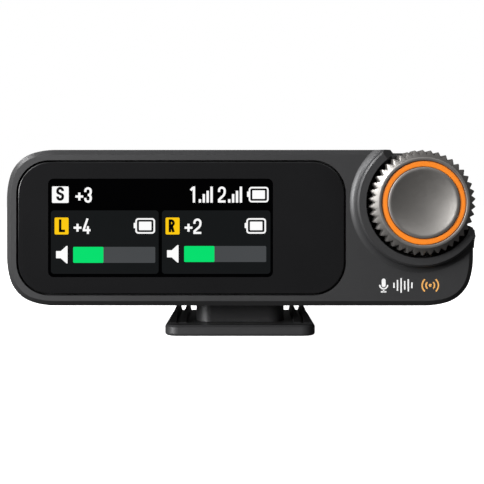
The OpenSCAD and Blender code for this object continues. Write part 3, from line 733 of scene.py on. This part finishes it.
@dataclass
class Dial:
    """The toothed wheel with its orange ring and dished cap."""

    teeth: int = 42
    tooth_depth: float = 0.5
    groove_out: float = 4.86
    groove_in: float = 4.10
    land: float = 0.34
    edge: float = 0.06
    bore: float = 1.5
    recess: float = 1.3
    ring_gap: float = 0.07
    ring_sink: float = 0.06
    ring_crown: float = 0.05
    dish_r: float = 3.80
    dish_depth: float = 0.62
    segments: int = 160

    def build(self) -> None:
        """Makes the wheel, the ring and the cap."""
        low, high = box_mm("dial_ring")
        self.centre = ((low[0] + high[0]) / 2, (low[2] + high[2]) / 2)
        self.tip = (high[2] - low[2]) / 2
        self.front, self.back = low[1], high[1]
        self._wheel()
        self._ring()
        self._cap()

    def _wheel(self) -> None:
        """The wheel: a turned profile whose radius is pressed inwards by V-shaped teeth.

        With t from 0 to 1 across each tooth and v = |2 t - 1|, the outside lies at tip - depth (1 - v), and where the
        bevel is already further in than that, the bevel wins.
        """
        root = self.tip - self.tooth_depth
        land_out = self.groove_out + self.land
        bevel = self.tip - land_out
        e = self.edge
        profile = np.array([
            (self.bore, self.back), (root - 0.55, self.back), (root - 0.30, self.back), (self.tip + 1, self.back),
            (self.tip + 1, self.front + bevel + 0.10), (self.tip, self.front + bevel + 0.10),
            (self.tip - 0.10 * bevel, self.front + 0.90 * bevel), (self.tip - 0.35 * bevel, self.front + 0.65 * bevel),
            (self.tip - 0.6 * bevel, self.front + 0.40 * bevel), (land_out + e, self.front + e),
            (land_out + 0.4 * e, self.front + 0.3 * e), (land_out - 0.4 * e, self.front),
            (self.groove_out + e, self.front),
            (self.groove_out + 0.3 * e, self.front + 0.3 * e), (self.groove_out, self.front + e),
            (self.groove_out, self.front + self.recess), (self.bore, self.front + self.recess),
        ])
        per_tooth = 12
        count = self.teeth * per_tooth
        step = np.arange(count)
        v = np.abs(2 * (step % per_tooth) / per_tooth - 1)
        v = np.clip((v - 0.06) / 0.88, 0, 1)
        limit = self.tip - self.tooth_depth * (1 - v)
        angle = step * 2 * math.pi / count + math.pi / 2
        radius = np.minimum(profile[:, :1], limit[None, :])
        points = screen_points(self.centre[0] + radius * np.cos(angle), self.centre[1] + radius * np.sin(angle),
                               np.broadcast_to(profile[:, 1:], radius.shape))
        surface = Surface(points.reshape(-1, 3), grid_faces(len(profile), count, True, True)).outward()
        make_piece("dial_wheel", surface, DIAL_METAL, Body.DIAL, ("dial_ring",), crease=28)

    def _ring(self) -> None:
        """The enamelled ring in its groove, slightly crowned: its front is a flat arch."""
        low, _ = box_mm("dial_accent_ring")
        front, deep = low[1] + self.ring_sink, low[1] + 0.9
        r = np.linspace(self.groove_in + self.ring_gap, self.groove_out - self.ring_gap, 9)
        middle, half = (r[0] + r[-1]) / 2, (r[-1] - r[0]) / 2
        crown = front + self.ring_crown * ((r - middle) / half) ** 4
        profile = np.vstack([[(r[0], deep)], np.stack([r, crown], axis=1), [(r[-1], deep)]])
        surface = turned(profile, self.centre, self.segments, True)
        make_piece("dial_orange_ring", surface, ACCENT, Body.DIAL, ("dial_accent_ring",))

    def _cap(self) -> None:
        """The cap: a rim with rounded edges, and a dish.

        With t from 0 at the axis to 1 at the rim, the dish is dish_depth (1 - t^2) deep.
        """
        low, high = box_mm("dial_cap")
        front, deep = low[1], high[1]
        rim_out, e = self.groove_in, self.edge
        t = np.linspace(0, 1, 26)
        dish = np.stack([self.dish_r * t, front + self.dish_depth * (1 - t ** 2)], axis=1)
        outer = np.array([(self.dish_r + 0.5 * e, front), (rim_out - e, front), (rim_out - 0.3 * e, front + 0.3 * e),
                          (rim_out, front + e), (rim_out, deep), (0.0, deep)])
        surface = turned(np.vstack([dish, outer]), self.centre, self.segments, False)
        make_piece("dial_dished_cap", surface, DIAL_METAL, Body.DIAL, ("dial_cap",), crease=24)


# ---------------------------------------------------------------------------------------------------- label


@dataclass
class FaceMark:
    """A printed mark under the dial: a microphone, a sound pattern and radio waves, with no lettering."""

    centre_x: float = 19.9
    drop: float = 6.72
    height: float = 1.70
    line: float = 0.17
    thick: float = 0.012
    sink: float = 0.01
    bars: tuple[float, ...] = (0.35, 0.75, 1.0, 0.6, 0.85, 0.4)
    bar_pitch: float = 0.42

    def build(self) -> None:
        """Prints the mark's two colours on the face."""
        low, high = box_mm("display_glass")
        self.face = low[1]
        middle = (low[2] + high[2]) / 2 - self.drop
        pale = self._microphone(self.centre_x - 3.1, middle)
        for i, share in enumerate(self.bars):
            x = self.centre_x - 1.9 + i * self.bar_pitch
            half = share * self.height / 2
            pale = pale.joined(self._line(np.array([[x, middle - half], [x, middle + half]])))
        make_piece("mark_microphone", pale, PRINT_WHITE, Body.RECEIVER)
        source = (self.centre_x + 2.35, middle)
        waves = self._line(arc(source, (0.1, 0.1), 0, 330, 12))
        for radius in (0.5, 0.95):
            for start in (-48, 132):
                waves = waves.joined(self._line(arc(source, (radius, radius), start, start + 96, 14)))
        make_piece("mark_radio_waves", waves, PRINT_TAN, Body.RECEIVER)

    def _line(self, path: Array) -> Surface:
        """A printed line along rows of (x, z)."""
        return ribbon(path, self.line, self.face + self.sink, self.face - self.thick)

    def _microphone(self, x: float, z: float) -> Surface:
        """A microphone: a capsule, the cradle under it, a stem and a base.

        Args:
            x: its middle to the right.
            z: its middle upwards.

        Returns:
            The sign's surface.
        """
        capsule = plate((x, z + 0.28), (0.46, 1.0), 0.22, self.face + self.sink, self.face - self.thick)
        cradle = self._line(arc((x, z + 0.05), (0.46, 0.46), 180, 360, 16))
        stem = self._line(np.array([[x, z - 0.42], [x, z - 0.78]]))
        base = self._line(np.array([[x - 0.32, z - 0.76], [x + 0.32, z - 0.76]]))
        return capsule.joined(cradle).joined(stem).joined(base)


# ---------------------------------------------------------------------------------------------------- studio


@dataclass
class Softbox:
    """An area light that is aimed at a point."""

    name: str
    place: tuple[float, float, float]
    size: Pair
    power: float
    aim: tuple[float, float, float] = (0.0, -12.0, 13.0)

    def build(self) -> None:
        """Makes the light."""
        light = bpy.data.lights.new(self.name, "AREA")
        light.shape = "RECTANGLE"
        light.size, light.size_y = self.size[0] * MM, self.size[1] * MM
        light.energy = self.power
        lamp = bpy.data.objects.new(self.name, light)
        bpy.context.scene.collection.objects.link(lamp)
        place, aim = np.array(self.place) * MM, np.array(self.aim) * MM
        lamp.location = place
        lamp.rotation_euler = Vector(aim - place).to_track_quat("-Z", "Y").to_euler()


@dataclass
class Studio:
    """The pale floor, the lights and the camera."""

    distance: float = 121.67
    eye_height: float = 17.17
    lens: float = 77.36
    shift: Pair = (0.004, -0.094)
    sensor: float = 36.0
    clip: Pair = (0.01, 20.0)
    floor_size: float = 3000.0
    floor_depth: float = 2.0
    floor_corner: float = 200.0
    fill: float = 0.045
    backdrop: float = 1.0

    def build(self) -> None:
        """Sets up the floor, the lights, the background and the camera."""
        self._floor()
        self._background()
        for box in (
            Softbox("side_low", (-370, -310, 90), (180, 120), 2.75, aim=(0.0, -12.0, 8.0)),
            Softbox("side_high", (-225, -370, 170), (140, 130), 0.44),
            Softbox("side_near", (-260, -150, 120), (260, 260), 0.43),
            Softbox("key_upper", (-230, -260, 270), (220, 220), 0.66),
            Softbox("front_high", (40, -330, 360), (320, 200), 0.27),
            Softbox("right_upper", (230, -200, 260), (200, 200), 0.18),
            Softbox("corner_rim", (-240, -15, 250), (90, 80), 0.65),
        ):
            box.build()
        self._camera()

    def _floor(self) -> None:
        """A wide flat floor, with its surface just under the foot."""
        x, y = round_rectangle(self.floor_size, self.floor_size, self.floor_corner)
        loops = [np.stack([x, y, np.full_like(x, level)], axis=1) * MM for level in (-self.floor_depth, 0.0)]
        surface = stacked_loops(np.array(loops))
        mesh = bpy.data.meshes.new("floor")
        mesh.from_pydata(surface.points.tolist(), [], surface.faces)
        floor = bpy.data.objects.new("floor", mesh)
        bpy.context.scene.collection.objects.link(floor)
        floor.data.materials.append(FLOOR_WHITE.build())
        floor.visible_glossy = False
        floor.visible_diffuse = False

    def _background(self) -> None:
        """A plain white background that lights the object only dimly."""
        world = bpy.data.worlds.new("studio")
        bpy.context.scene.world = world
        world.use_nodes = True
        nodes, links = world.node_tree.nodes, world.node_tree.links
        shader = nodes["Background"]
        path = nodes.new("ShaderNodeLightPath")
        level = nodes.new("ShaderNodeMapRange")
        level.inputs["To Min"].default_value = self.fill
        level.inputs["To Max"].default_value = self.backdrop
        links.new(path.outputs["Is Camera Ray"], level.inputs["Value"])
        links.new(level.outputs["Result"], shader.inputs["Strength"])
        shader.inputs["Color"].default_value = (1, 1, 1, 1)

    def _camera(self) -> None:
        """A level camera in front of the screen, at the height of the screen's upper part."""
        low, _ = box_mm("display_glass")
        data = bpy.data.cameras.new("camera")
        data.lens, data.sensor_width = self.lens, self.sensor
        data.shift_x, data.shift_y = self.shift
        data.clip_start, data.clip_end = self.clip
        camera = bpy.data.objects.new("camera", data)
        bpy.context.scene.collection.objects.link(camera)
        camera.location = (0.0, (low[1] - self.distance) * MM, self.eye_height * MM)
        camera.rotation_euler = (math.pi / 2, 0.0, 0.0)
        bpy.context.scene.camera = camera
        bpy.context.scene.view_settings.view_transform = "Standard"


def main() -> None:
    """Builds the receiver's visible pieces and the studio, in order."""
    logging.basicConfig(level=logging.INFO, format="%(name)s: %(message)s")
    CarriedNodes().dress()
    for assembly in (Display(), Dial(), FaceMark(), Studio()):
        LOG.info("building %s", type(assembly).__name__)
        assembly.build()


if __name__ == "__main__":
    main()
